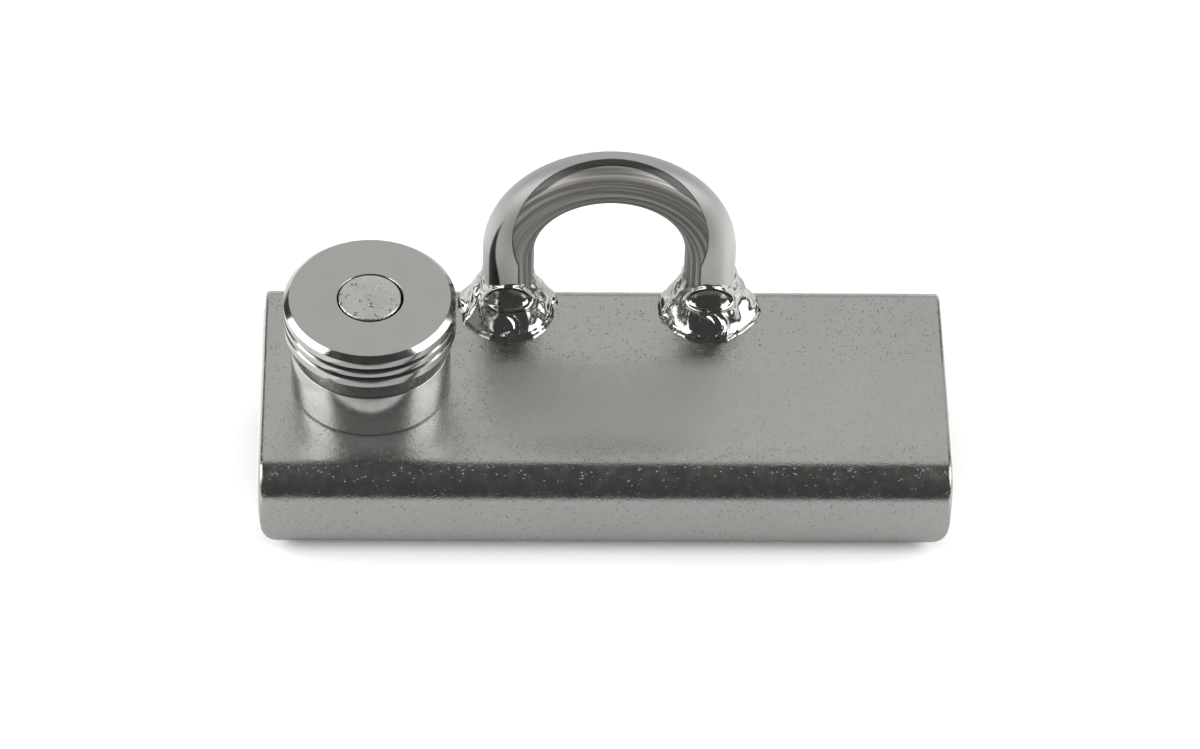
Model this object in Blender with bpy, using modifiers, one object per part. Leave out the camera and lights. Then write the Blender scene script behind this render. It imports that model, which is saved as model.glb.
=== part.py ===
"""T-track slider with a fixed round-bar eye and a spring-loaded stop plunger.

Metres, +Z up. The origin is on the liner's running face, which slides on the
top of a 25 mm T-track, at mid-length and on the centre line. +X runs along the
track, +Y points to the eye's side, and the plunger stands at -X.
"""
import math

import bmesh
import bpy
from mathutils import Vector

MM = 0.001

# Folded plate body
BODY_LENGTH = 75.0 * MM
BODY_WIDTH = 30.6 * MM
PLATE_TOP = 4.2 * MM
BODY_BOTTOM = -7.4 * MM
WALL = 2.0 * MM
BEND_RADIUS = 2.8 * MM
MOUTH_WIDTH = 13.4 * MM
LIP_CORNER_RADIUS = 4.5 * MM

# Liner, and the channel in it for a track flange of 25 x 2.8 mm
FLANGE_SLOT_WIDTH = 25.3 * MM
FLANGE_SLOT_HEIGHT = 3.0 * MM
LINER_GAP = 0.05 * MM
LINER_PROUD = 0.3 * MM
LINER_LIP_SETBACK = 0.2 * MM
LINER_CORNER_EXTRA = 0.25 * MM
LINER_HOLE_MARGIN = 1.6 * MM

# Fixed eye
EYE_BAR_RADIUS = 2.83 * MM
EYE_BEND_RADIUS = 11.1 * MM
EYE_X = 0.5 * MM
EYE_Y = 11.5 * MM
EYE_STRAIGHT = 8.6 * MM
WELD_FOOT = 2.8 * MM
WELD_HEIGHT = 5.8 * MM
WELD_REAR_CUT = 1.5 * MM
WELD_SKIRT = 2.0 * MM
WELD_CREST = 0.1 * MM
WELD_TOE = 0.4 * MM
WELD_HOLLOW = 1.65
WELD_STEPS = 8

# Plunger, on a vertical axis
PLUNGER_X = -25.6 * MM
PIN_RADIUS = 3.4 * MM
PIN_TIP = -3.9 * MM
PIN_HEAD = 16.95 * MM
PIN_CHAMFER = 0.7 * MM
KNOB_FACE = 16.85 * MM
KNOB_BASE = 10.25 * MM
KNOB_RADIUS = 9.35 * MM
KNOB_FACE_RADIUS = 8.75 * MM
KNOB_BASE_RADIUS = 8.7 * MM
LAND_TOPS = (16.3 * MM, 14.86 * MM, 13.58 * MM)
LAND_BOTTOMS = (15.42 * MM, 14.14 * MM, 12.62 * MM)
GROOVE_DEPTH = 0.4 * MM
BORE_RELIEF = 0.25 * MM
HEAD_DOME = 0.15 * MM
COLLAR_RADIUS = 8.72 * MM
COLLAR_TOP = 10.15 * MM
COLLAR_CHAMFER = 0.4 * MM
HOUSING_WELD_LEG = 1.1 * MM
SPIGOT_RADIUS = 7.0 * MM
SPRING_BORE_RADIUS = 4.8 * MM
CEILING = 1.2 * MM
SPRING_WIRE_RADIUS = 0.3 * MM
SPRING_COIL_RADIUS = 3.95 * MM
SPRING_TURNS = 4.25
RING_BOTTOM = 0.3 * MM
RING_THICKNESS = 0.6 * MM
RING_OUTER_RADIUS = 4.4 * MM
RING_SEAT_RADIUS = 3.0 * MM
RING_MOUTH = 2.4 * MM
WASHER_THICKNESS = 0.4 * MM
WASHER_RADIUS = 4.5 * MM

# Clearances and mesh fineness
TOUCH = 0.1 * MM
REST_GAP = 0.05 * MM
TURNED_STEPS = 48
BEND_SEGMENTS = 6
TRIM_SEGMENTS = 7
MERGE = 0.00001

PLATE_UNDER = PLATE_TOP - WALL
SPIGOT_BOTTOM = PLATE_UNDER - 0.7 * MM
LINER_TOP = PLATE_UNDER - LINER_GAP
CEILING_Z = COLLAR_TOP - CEILING


def start():
    for obj in list(bpy.data.objects):
        bpy.data.objects.remove(obj, do_unlink=True)
    parts = bpy.data.collections.new("t_track_slider")
    cutters = bpy.data.collections.new("cutters")
    bpy.context.scene.collection.children.link(parts)
    bpy.context.scene.collection.children.link(cutters)
    return parts, cutters


def metal(name, color, roughness, metallic=1.0):
    mat = bpy.data.materials.new(name)
    mat.use_nodes = True
    shader = mat.node_tree.nodes["Principled BSDF"]
    shader.inputs["Base Color"].default_value = (*color, 1.0)
    shader.inputs["Roughness"].default_value = roughness
    shader.inputs["Metallic"].default_value = metallic
    mat.diffuse_color = (*color, 1.0)
    return mat


def add_object(name, data, collection, material=None):
    obj = bpy.data.objects.new(name, data)
    collection.objects.link(obj)
    if material:
        data.materials.append(material)
    return obj


def mesh_from(bm, name):
    mesh = bpy.data.meshes.new(name)
    bm.to_mesh(mesh)
    bm.free()
    return mesh


def box_mesh(name, low, high):
    bm = bmesh.new()
    bmesh.ops.create_cube(bm, size=1.0)
    low = Vector(low)
    high = Vector(high)
    bmesh.ops.scale(bm, vec=high - low, verts=bm.verts)
    bmesh.ops.translate(bm, vec=(low + high) / 2, verts=bm.verts)
    return mesh_from(bm, name)


def as_cutter(obj):
    obj.hide_render = True
    obj.display_type = "WIRE"
    return obj


def combine(obj, cutter, operation="DIFFERENCE"):
    mod = obj.modifiers.new(cutter.name, "BOOLEAN")
    mod.operation = operation
    mod.solver = "EXACT"
    mod.object = cutter


def turned(name, profile, collection, material=None, closed=False, steps=TURNED_STEPS):
    """A profile of (radius, z) pairs at +X, outer side from top to bottom, turned about Z."""
    bm = bmesh.new()
    verts = [bm.verts.new((radius, 0.0, z)) for radius, z in profile]
    for first, second in zip(verts, verts[1:]):
        bm.edges.new((first, second))
    if closed:
        bm.edges.new((verts[-1], verts[0]))
    obj = add_object(name, mesh_from(bm, name), collection, material)
    screw = obj.modifiers.new("turn", "SCREW")
    screw.axis = "Z"
    screw.steps = steps
    screw.render_steps = steps
    screw.use_merge_vertices = True
    screw.merge_threshold = MERGE
    screw.use_smooth_shade = True
    return obj


def arc(center, radius, start_deg, end_deg, segments):
    points = []
    for i in range(segments + 1):
        angle = math.radians(start_deg + (end_deg - start_deg) * i / segments)
        points.append((center[0] + radius * math.cos(angle), center[1] + radius * math.sin(angle)))
    return points


def outline_prism(name, points, half_depth, collection, material=None):
    """A flat outline of (x, z) points, extruded half_depth each way along Y."""
    curve = bpy.data.curves.new(name, "CURVE")
    curve.dimensions = "2D"
    curve.fill_mode = "BOTH"
    curve.extrude = half_depth
    spline = curve.splines.new("POLY")
    spline.points.add(len(points) - 1)
    for point, (x, z) in zip(spline.points, points):
        point.co = (x, z, 0.0, 1.0)
    spline.use_cyclic_u = True
    source = bpy.data.objects.new(name + "_curve", curve)
    collection.objects.link(source)
    source.rotation_euler = (math.radians(90), 0.0, 0.0)
    return solid_from_curve(name, source, collection, material)


def solid_from_curve(name, source, collection, material=None):
    bpy.context.view_layer.update()
    depsgraph = bpy.context.evaluated_depsgraph_get()
    mesh = bpy.data.meshes.new_from_object(source.evaluated_get(depsgraph))
    bm = bmesh.new()
    bm.from_mesh(mesh)
    bmesh.ops.remove_doubles(bm, verts=bm.verts, dist=MERGE)
    bmesh.ops.recalc_face_normals(bm, faces=bm.faces)
    bm.to_mesh(mesh)
    bm.free()
    obj = add_object(name, mesh, collection, material)
    obj.matrix_world = source.matrix_world.copy()
    bpy.data.objects.remove(source, do_unlink=True)
    return obj


def folded_strip(name, corners, half_length, collection, material=None):
    """An open strip whose section runs through the (y, z) corners."""
    bm = bmesh.new()
    rows = []
    for y, z in corners:
        left = bm.verts.new((-half_length, y, z))
        right = bm.verts.new((half_length, y, z))
        rows.append((left, right))
    for (a, b), (c, d) in zip(rows, rows[1:]):
        bm.faces.new((a, c, d, b))
    return add_object(name, mesh_from(bm, name), collection, material)


def channel_section(half_width, top, bottom, half_mouth):
    """Corners of a C section that is open downwards, from the rear lip to the front lip."""
    return [
        (half_mouth, bottom),
        (half_width, bottom),
        (half_width, top),
        (-half_width, top),
        (-half_width, bottom),
        (-half_mouth, bottom),
    ]


def fold(obj, radius, wall):
    bend = obj.modifiers.new("bend", "BEVEL")
    bend.limit_method = "ANGLE"
    bend.width = radius
    bend.segments = BEND_SEGMENTS
    plate = obj.modifiers.new("plate", "SOLIDIFY")
    plate.thickness = wall
    plate.offset = -1.0
    plate.use_even_offset = True


def end_trim(name, proud, collection):
    """The side view of the channel: square at the top, rounded at both lower corners."""
    half_length = BODY_LENGTH / 2 + proud
    corner_radius = LIP_CORNER_RADIUS + proud
    corner_z = BODY_BOTTOM + LIP_CORNER_RADIUS
    high = PLATE_TOP + WALL
    low = corner_z - corner_radius - WALL
    centre_x = half_length - corner_radius
    right = arc((centre_x, corner_z), corner_radius, 0, -90, TRIM_SEGMENTS)
    left = [(-x, z) for x, z in reversed(right)]
    points = [(half_length, high)] + right + [(centre_x, low)]
    points += [(-centre_x, low)] + left + [(-half_length, high)]
    return as_cutter(outline_prism(name, points, BODY_WIDTH, collection))


def make_body(parts, cutters, steel):
    section = channel_section(BODY_WIDTH / 2, PLATE_TOP, BODY_BOTTOM, MOUTH_WIDTH / 2)
    body = folded_strip("slider_body", section, BODY_LENGTH / 2 + WALL, parts, steel)
    fold(body, BEND_RADIUS, WALL)
    hole = drill("plunger_hole", SPIGOT_RADIUS + TOUCH, PLATE_UNDER - WALL, PLATE_TOP + WALL, cutters)
    combine(body, hole)
    combine(body, end_trim("body_trim", 0.0, cutters), "INTERSECT")
    return body


def drill(name, radius, low, high, collection):
    """A vertical cutter on the plunger's axis."""
    bm = bmesh.new()
    bmesh.ops.create_cone(
        bm, cap_ends=True, segments=TURNED_STEPS, radius1=radius, radius2=radius, depth=high - low
    )
    obj = add_object(name, mesh_from(bm, name), collection)
    obj.location = (PLUNGER_X, 0.0, (low + high) / 2)
    return as_cutter(obj)


def make_liner(parts, cutters, plastic):
    half_width = BODY_WIDTH / 2 - WALL - LINER_GAP
    side = half_width - FLANGE_SLOT_WIDTH / 2
    bottom = BODY_BOTTOM + WALL + LINER_GAP
    half_length = BODY_LENGTH / 2 + WALL
    liner = add_object(
        "track_liner",
        box_mesh(
            "track_liner",
            (-half_length, -half_width, bottom),
            (half_length, half_width, LINER_TOP),
        ),
        parts,
        plastic,
    )
    corners = liner.modifiers.new("corners", "BEVEL")
    corners.limit_method = "ANGLE"
    corners.width = side + LINER_CORNER_EXTRA
    corners.segments = 3
    slot = add_object(
        "flange_slot",
        box_mesh(
            "flange_slot",
            (-BODY_LENGTH, -FLANGE_SLOT_WIDTH / 2, -FLANGE_SLOT_HEIGHT),
            (BODY_LENGTH, FLANGE_SLOT_WIDTH / 2, 0.0),
        ),
        cutters,
    )
    combine(liner, as_cutter(slot))
    half_mouth = MOUTH_WIDTH / 2 + LINER_LIP_SETBACK
    mouth = add_object(
        "liner_mouth",
        box_mesh(
            "liner_mouth",
            (-BODY_LENGTH, -half_mouth, BODY_BOTTOM - WALL),
            (BODY_LENGTH, half_mouth, -FLANGE_SLOT_HEIGHT / 2),
        ),
        cutters,
    )
    combine(liner, as_cutter(mouth))
    radius = SPIGOT_RADIUS + LINER_HOLE_MARGIN
    combine(liner, drill("liner_hole", radius, -FLANGE_SLOT_HEIGHT / 2, PLATE_TOP, cutters))
    combine(liner, end_trim("liner_trim", LINER_PROUD, cutters), "INTERSECT")
    return liner


def make_eye(parts, steel):
    """A round bar bent to a U, its legs standing on the plate near the rear edge."""
    base = PLATE_TOP + TOUCH
    bend_z = PLATE_TOP + EYE_STRAIGHT
    bend = arc((EYE_X, bend_z), EYE_BEND_RADIUS, 180, 0, 24)
    route = [(EYE_X - EYE_BEND_RADIUS, base)]
    route += bend
    route.append((EYE_X + EYE_BEND_RADIUS, base))
    curve = bpy.data.curves.new("eye_bow", "CURVE")
    curve.dimensions = "3D"
    curve.bevel_depth = EYE_BAR_RADIUS
    curve.bevel_resolution = 6
    curve.use_fill_caps = True
    spline = curve.splines.new("POLY")
    spline.points.add(len(route) - 1)
    for point, (x, z) in zip(spline.points, route):
        point.co = (x, EYE_Y, z, 1.0)
    return add_object("eye_bow", curve, parts, steel)


def weld_profile():
    """A concave fillet round a leg, with a skirt that is cut to the plate below it."""
    inner = EYE_BAR_RADIUS + REST_GAP
    crest = inner + WELD_CREST
    foot = EYE_BAR_RADIUS + WELD_FOOT
    top = PLATE_TOP + WELD_HEIGHT
    toe = PLATE_TOP + WELD_TOE
    skirt = PLATE_TOP - WELD_SKIRT
    flank = []
    for i in range(WELD_STEPS + 1):
        share = i / WELD_STEPS
        flank.append((crest + (foot - crest) * share ** WELD_HOLLOW, top + (toe - top) * share))
    return [(inner, top)] + flank + [(foot, skirt), (inner, skirt)]


def make_weld(name, side, parts, cutters, steel, clearance_block):
    weld = turned(name, weld_profile(), parts, steel, closed=True, steps=32)
    weld.location = (EYE_X + side * EYE_BEND_RADIUS, EYE_Y, 0.0)
    combine(weld, rear_limit(name + "_limit", weld.location, cutters), "INTERSECT")
    combine(weld, clearance_block)
    return weld


def rear_limit(name, centre, cutters):
    """A cylinder set forward of the leg: it cuts the weld short where the plate ends."""
    radius = EYE_BAR_RADIUS + WELD_FOOT + 2 * TOUCH
    bm = bmesh.new()
    bmesh.ops.create_cone(
        bm, cap_ends=True, segments=TURNED_STEPS, radius1=radius, radius2=radius, depth=8 * PLATE_TOP
    )
    limit = add_object(name, mesh_from(bm, name), cutters)
    limit.location = centre - Vector((0.0, WELD_REAR_CUT, 0.0))
    return as_cutter(limit)


def body_clearance(cutters):
    """The body's outer shape, grown by a small gap, which the welds sit on."""
    length = BODY_LENGTH / 2
    width = BODY_WIDTH / 2 + REST_GAP
    block = add_object(
        "body_clearance",
        box_mesh(
            "body_clearance",
            (-length, -width, BODY_BOTTOM),
            (length, width, PLATE_TOP + REST_GAP),
        ),
        cutters,
    )
    bend = block.modifiers.new("bend", "BEVEL")
    bend.limit_method = "ANGLE"
    bend.width = BEND_RADIUS
    bend.segments = BEND_SEGMENTS
    return as_cutter(block)


def on_axis(obj):
    obj.location.x = PLUNGER_X
    return obj


def make_housing(parts, steel):
    collar_seat = PLATE_TOP + REST_GAP
    bore = PIN_RADIUS + TOUCH
    profile = [
        (bore, COLLAR_TOP),
        (COLLAR_RADIUS - COLLAR_CHAMFER, COLLAR_TOP),
        (COLLAR_RADIUS, COLLAR_TOP - COLLAR_CHAMFER),
        (COLLAR_RADIUS, collar_seat),
        (SPIGOT_RADIUS, collar_seat),
        (SPIGOT_RADIUS, SPIGOT_BOTTOM),
        (SPRING_BORE_RADIUS, SPIGOT_BOTTOM),
        (SPRING_BORE_RADIUS, CEILING_Z),
        (bore, CEILING_Z),
    ]
    return on_axis(turned("plunger_housing", profile, parts, steel, closed=True))


def make_housing_weld(parts, steel):
    inner = SPIGOT_RADIUS + REST_GAP
    top = PLATE_UNDER - REST_GAP
    leg = HOUSING_WELD_LEG
    throat = (inner + 0.45 * leg, top - 0.35 * leg)
    profile = [(inner, top), (inner + leg, top), throat, (inner, top - leg / 2)]
    return on_axis(turned("housing_weld", profile, parts, steel, closed=True))


def knob_outline():
    """The knob's side, top to bottom: chamfer, three lands with two grooves, taper."""
    side = [(KNOB_FACE_RADIUS, KNOB_FACE)]
    for i, (top, bottom) in enumerate(zip(LAND_TOPS, LAND_BOTTOMS)):
        side.append((KNOB_RADIUS, top))
        side.append((KNOB_RADIUS, bottom))
        if i < len(LAND_TOPS) - 1:
            middle = (bottom + LAND_TOPS[i + 1]) / 2
            side.append((KNOB_RADIUS - GROOVE_DEPTH, middle))
    side.append((KNOB_BASE_RADIUS + TOUCH, KNOB_BASE + 3 * TOUCH))
    side.append((KNOB_BASE_RADIUS - 2 * TOUCH, KNOB_BASE))
    return side


def make_knob(parts, steel):
    bore = PIN_RADIUS + TOUCH
    profile = [(bore, KNOB_FACE - BORE_RELIEF), (bore + BORE_RELIEF, KNOB_FACE)]
    profile += knob_outline()
    profile.append((bore, KNOB_BASE))
    return turned("plunger_knob", profile, parts, steel, closed=True)


def make_pin(parts, steel):
    """A plain rod with a groove for the snap ring and a slightly domed, peened head."""
    groove_low = RING_BOTTOM - REST_GAP
    groove_high = RING_BOTTOM + RING_THICKNESS + REST_GAP
    profile = [
        (0.0, PIN_HEAD),
        (PIN_RADIUS * 0.6, PIN_HEAD - 0.3 * HEAD_DOME),
        (PIN_RADIUS, PIN_HEAD - HEAD_DOME),
        (PIN_RADIUS, groove_high),
        (RING_SEAT_RADIUS, groove_high),
        (RING_SEAT_RADIUS, groove_low),
        (PIN_RADIUS, groove_low),
        (PIN_RADIUS, PIN_TIP + PIN_CHAMFER),
        (PIN_RADIUS - PIN_CHAMFER, PIN_TIP),
        (0.0, PIN_TIP),
    ]
    return turned("plunger_pin", profile, parts, steel)


def flat_ring(name, inner, outer, bottom, thickness, parts, steel):
    """A plain ring of rectangular section."""
    top = bottom + thickness
    profile = [(inner, top), (outer, top), (outer, bottom), (inner, bottom)]
    return turned(name, profile, parts, steel, closed=True)


def make_snap_ring(parts, cutters, steel):
    inner = RING_SEAT_RADIUS + REST_GAP
    ring = flat_ring("pin_snap_ring", inner, RING_OUTER_RADIUS, RING_BOTTOM, RING_THICKNESS, parts, steel)
    half = RING_MOUTH / 2
    mouth = add_object(
        "ring_mouth",
        box_mesh(
            "ring_mouth",
            (PLUNGER_X, -half, RING_BOTTOM - RING_THICKNESS),
            (PLUNGER_X + 2 * RING_OUTER_RADIUS, half, RING_BOTTOM + 2 * RING_THICKNESS),
        ),
        cutters,
    )
    combine(ring, as_cutter(mouth))
    return ring


def make_washer(parts, steel):
    bottom = RING_BOTTOM + RING_THICKNESS + REST_GAP
    inner = PIN_RADIUS + TOUCH
    return flat_ring("spring_washer", inner, WASHER_RADIUS, bottom, WASHER_THICKNESS, parts, steel)


def spring_height(share, low, high):
    """Height along the coil: nearly closed end turns, an even pitch between them."""
    turn = share * SPRING_TURNS
    end_pitch = 2 * SPRING_WIRE_RADIUS + 0.08 * MM
    middle = SPRING_TURNS - 2
    pitch = (high - low - 2 * end_pitch) / middle
    if turn < 1:
        return low + end_pitch * turn
    if turn > SPRING_TURNS - 1:
        return high - end_pitch * (SPRING_TURNS - turn)
    return low + end_pitch + pitch * (turn - 1)


def make_spring(parts, steel):
    washer_top = RING_BOTTOM + RING_THICKNESS + REST_GAP + WASHER_THICKNESS
    low = washer_top + REST_GAP + SPRING_WIRE_RADIUS
    high = CEILING_Z - REST_GAP - SPRING_WIRE_RADIUS
    count = int(SPRING_TURNS * 18)
    curve = bpy.data.curves.new("plunger_spring", "CURVE")
    curve.dimensions = "3D"
    curve.bevel_depth = SPRING_WIRE_RADIUS
    curve.bevel_resolution = 2
    curve.use_fill_caps = True
    spline = curve.splines.new("POLY")
    spline.points.add(count)
    for i, point in enumerate(spline.points):
        share = i / count
        angle = 2 * math.pi * SPRING_TURNS * share
        x = SPRING_COIL_RADIUS * math.cos(angle)
        y = SPRING_COIL_RADIUS * math.sin(angle)
        point.co = (x, y, spring_height(share, low, high), 1.0)
    return on_axis(add_object("plunger_spring", curve, parts, steel))


def plunger_empty(parts):
    """The plunger's slide and turning axis: the knob, pin, ring and washer hang on it."""
    empty = bpy.data.objects.new("plunger_axis", None)
    empty.location = (PLUNGER_X, 0.0, 0.0)
    empty.empty_display_size = 2 * KNOB_RADIUS
    parts.objects.link(empty)
    return empty


def main():
    parts, cutters = start()
    plate_steel = metal("plate_steel", (0.46, 0.45, 0.43), 0.16)
    bar_steel = metal("bar_steel", (0.48, 0.47, 0.45), 0.2)
    weld_steel = metal("weld_steel", (0.55, 0.54, 0.52), 0.08)
    turned_steel = metal("turned_steel", (0.58, 0.57, 0.55), 0.1)
    spring_steel = metal("spring_steel", (0.42, 0.42, 0.41), 0.3)
    liner_plastic = metal("liner_plastic", (0.78, 0.78, 0.75), 0.45, metallic=0.0)

    make_body(parts, cutters, plate_steel)
    make_liner(parts, cutters, liner_plastic)
    make_eye(parts, bar_steel)
    block = body_clearance(cutters)
    make_weld("eye_weld_left", -1, parts, cutters, weld_steel, block)
    make_weld("eye_weld_right", 1, parts, cutters, weld_steel, block)
    make_housing(parts, turned_steel)
    make_housing_weld(parts, weld_steel)
    make_spring(parts, spring_steel)

    axis = plunger_empty(parts)
    moving = [
        make_knob(parts, turned_steel),
        make_pin(parts, turned_steel),
        make_snap_ring(parts, cutters, spring_steel),
        make_washer(parts, turned_steel),
    ]
    for piece in moving:
        piece.parent = axis


main()
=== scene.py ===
"""Looks of a T-track slider with a fixed eye and a spring-loaded stop plunger."""
import math

import bmesh
import bpy
import numpy as np
from mathutils import Matrix, Vector


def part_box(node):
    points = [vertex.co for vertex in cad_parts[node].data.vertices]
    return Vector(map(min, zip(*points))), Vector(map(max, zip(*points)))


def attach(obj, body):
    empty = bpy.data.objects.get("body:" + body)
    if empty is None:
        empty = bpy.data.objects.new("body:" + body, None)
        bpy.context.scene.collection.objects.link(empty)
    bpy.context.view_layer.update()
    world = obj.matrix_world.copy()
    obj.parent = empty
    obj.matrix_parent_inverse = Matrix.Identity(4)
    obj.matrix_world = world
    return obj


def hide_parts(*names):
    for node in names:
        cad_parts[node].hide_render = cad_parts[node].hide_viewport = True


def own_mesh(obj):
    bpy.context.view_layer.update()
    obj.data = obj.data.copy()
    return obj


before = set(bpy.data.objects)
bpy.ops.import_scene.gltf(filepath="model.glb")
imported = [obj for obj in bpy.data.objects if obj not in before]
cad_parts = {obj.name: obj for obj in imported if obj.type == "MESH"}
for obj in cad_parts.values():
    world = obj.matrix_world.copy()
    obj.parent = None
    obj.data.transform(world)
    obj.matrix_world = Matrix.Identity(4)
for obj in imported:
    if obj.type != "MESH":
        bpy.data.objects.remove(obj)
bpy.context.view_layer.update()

MM = 0.001

# Camera: degrees, and metres except for the lens
CAMERA_AZIMUTH = 1.84
CAMERA_ELEVATION = 46.46
CAMERA_ROLL = 1.57
CAMERA_DISTANCE = 631 * MM
CAMERA_LENS_MM = 171.06
CAMERA_TARGET = Vector((-0.38 * MM, 4.69 * MM, 0.0))

# Studio: what polished steel sees round it. Angles are degrees; azimuth 0 is the front, -Y
BACK_LIGHT = 0.86
DARK_LIGHT = 0.08
BACK_TOP_ELEVATION = 66.0
BACK_BASE_ELEVATION = 8.0
BACK_SIDE_AZIMUTH = 146.0
EDGE_BLUR = 2.0
ROOM_LIGHT = 0.86
SOFTBOX_AZIMUTH = 86.0
SOFTBOX_DISTANCE = 600 * MM
SOFTBOX_WIDTH_DEG = 54.0
SOFTBOX_ELEVATIONS = (10.0, 57.0)
SOFTBOX_RADIANCE = 3.6
BLACK_CARD_EDGE = -32.5 * MM
GREY_CARD_HALF_WIDTH = 44 * MM
CARD_STEP = 0.01 * MM
FLOOR_REACH = 4000 * MM

# Body and liner. The body's bends are wider than the CAD's 2.8 and 0.8 mm: the outer one has to
# show the dark band along the front edge as wide as the photo does
BODY_LOW, BODY_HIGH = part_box("slider_body")
LINER_LOW, LINER_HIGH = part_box("track_liner")
WALL = 2.0 * MM
BEND_RADIUS = 3.4 * MM
INNER_BEND_RADIUS = 1.2 * MM
HALF_MOUTH = 6.7 * MM
LIP_CORNER_RADIUS = 4.5 * MM
END_ROUND = 0.5 * MM
LIP_ROUND = 0.6 * MM
FLANGE_SLOT_HALF = 12.65 * MM
FLANGE_SLOT_DEPTH = 3.0 * MM
LINER_HALF_MOUTH = 6.9 * MM
LINER_CORNER = 1.25 * MM
LINER_SLOT_CORNER = 0.2 * MM
LINER_END_ROUND = 0.15 * MM
LINER_LIP_ROUND = 0.4 * MM
THROUGH_WALL_STEPS = 6

# Eye, from its node's box
BOW_LOW, BOW_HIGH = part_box("eye_bow")
BAR_RADIUS = (BOW_HIGH.y - BOW_LOW.y) / 2
EYE_X = (BOW_LOW.x + BOW_HIGH.x) / 2
EYE_Y = (BOW_LOW.y + BOW_HIGH.y) / 2
EYE_BEND_RADIUS = (BOW_HIGH.x - BOW_LOW.x) / 2 - BAR_RADIUS
EYE_BEND_Z = BOW_HIGH.z - BAR_RADIUS - EYE_BEND_RADIUS
WELD_REACH = 2.82 * MM
WELD_HEIGHT = 6.3 * MM
WELD_HOLLOW = 1.6
WELD_REAR_LIMIT = 3.75 * MM

# Plunger, from its nodes' boxes
KNOB_LOW, KNOB_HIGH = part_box("plunger_knob")
PIN_LOW, PIN_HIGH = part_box("plunger_pin")
HOUSING_LOW, HOUSING_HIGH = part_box("plunger_housing")
BEAD_LOW, BEAD_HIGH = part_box("housing_weld")
SPRING_LOW, SPRING_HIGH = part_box("plunger_spring")
RING_LOW, RING_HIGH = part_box("pin_snap_ring")
WASHER_LOW, WASHER_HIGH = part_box("spring_washer")
AXIS_X = (PIN_LOW.x + PIN_HIGH.x) / 2
PIN_RADIUS = (PIN_HIGH.x - PIN_LOW.x) / 2
KNOB_RADIUS = (KNOB_HIGH.x - KNOB_LOW.x) / 2
COLLAR_RADIUS = (HOUSING_HIGH.x - HOUSING_LOW.x) / 2
SPIGOT_RADIUS = 7.0 * MM
SPRING_BORE_RADIUS = 4.8 * MM
CEILING_Z = HOUSING_HIGH.z - 1.2 * MM
PLATE_TOP = BODY_HIGH.z
RING_SEAT_RADIUS = 3.0 * MM
RING_MOUTH = 2.4 * MM
SPRING_WIRE_RADIUS = 0.3 * MM
SPRING_TURNS = 4.25
TURNED_STEPS = 256
AXIS_GAP = 0.004 * MM

# Knob: grooves and last land from its face down, its skirt from its foot up
KNOB_BORE_GAP = 0.09 * MM
KNOB_WEAR = 0.085 * MM
KNOB_WEAR_DEG = -50
KNOB_CHAMFER_IN = 0.6 * MM
KNOB_CHAMFER_DOWN = 0.55 * MM
GROOVES = ((1.43 * MM, 1.99 * MM), (2.71 * MM, 3.27 * MM))
GROOVE_DEPTH = 0.4 * MM
GROOVE_SLANT = 0.3
GROOVE_EDGE = 0.04 * MM
LAST_LAND_END = 4.23 * MM
SKIRT_IN = 0.6 * MM
SKIRT_UP = 0.15 * MM
KNOB_FOOT_IN = 0.75 * MM

# Pin head: (radius, depth below the top, rounding), a shallow dimple
PIN_HEAD = (
    (AXIS_GAP, 0.02 * MM, 0.0),
    (0.1 * MM, 0.14 * MM, 0.05 * MM),
    (0.3 * MM, 0.12 * MM, 0.06 * MM),
    (0.5 * MM, 0.07 * MM, 0.1 * MM),
    (1.3 * MM, 0.11 * MM, 0.4 * MM),
    (PIN_RADIUS - 0.1 * MM, 0.05 * MM, 0.08 * MM),
    (PIN_RADIUS, 0.2 * MM, 0.06 * MM),
)
PIN_TIP_CHAMFER = 0.7 * MM
PIN_GROOVE_GAP = 0.05 * MM

# Collar
RUNNING_GAP = 0.1 * MM
COLLAR_BASE_GAP = 0.03 * MM
COLLAR_CHAMFER_IN = 0.16 * MM
COLLAR_CHAMFER_UP = 0.26 * MM
LINER_HOLE_MARGIN = 1.6 * MM

# Spring: turns laid flat at each end, and how the rise eases into them
SPRING_FLAT_TURNS = 0.65
SPRING_EASE = 0.06
SPRING_END_RISE = 0.035

# Weld bead. Shares run from the crest, 0, to the toe, 1; angle 0 is the front
WELD_UNEVEN = 0.24
WELD_FINE_UNEVEN = 0.16
WELD_FRONT_EXTRA = 0.15
WELD_BAR_OVERLAP = 0.04 * MM
WELD_INSIDE_OVERLAP = 0.3 * MM
WELD_SINK = 0.06 * MM
WELD_MEAN_OFF = 0.8 * MM
WELD_TOE = 0.17
WELD_TOE_SHARE = 0.92
WELD_TOE_WIDTH = 0.045
WELD_LUMPS = 0.14
CREST_UNEVEN = 0.05
CREST_REAR_DROP = 0.16
CREST_SAG = 0.19
CREST_SAG_ANGLE = 0.95
CREST_SAG_WIDTH = 0.42
WELD_SHARP_DEG = 60.0
SHARP_DEG = 40.0
GOLDEN_ANGLE = 2.399

# The bowl in the weld's front, and the ripples and folds beside it, in millimetres
BOWL_HALF_WIDTH = 2.6
BOWL_HALF_HEIGHT = 1.15
BOWL_HEIGHT = 4.3
BOWL_DROOP = 0.11
BOWL_DEPTH = 0.1
BOWL_RIM = 0.3
BOWL_RIM_AT = 1.15
BOWL_RIM_WIDTH = 0.15
RIPPLE_CENTRE = (-0.9, 1.5)
RIPPLE_START = 0.95
RIPPLE_STEP = 0.62
RIPPLE_WIDTH = 0.12
RIPPLE_HEIGHT = 0.1
FLANK_ANGLE = 0.95
FOLD_HEIGHT = 0.05

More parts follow.
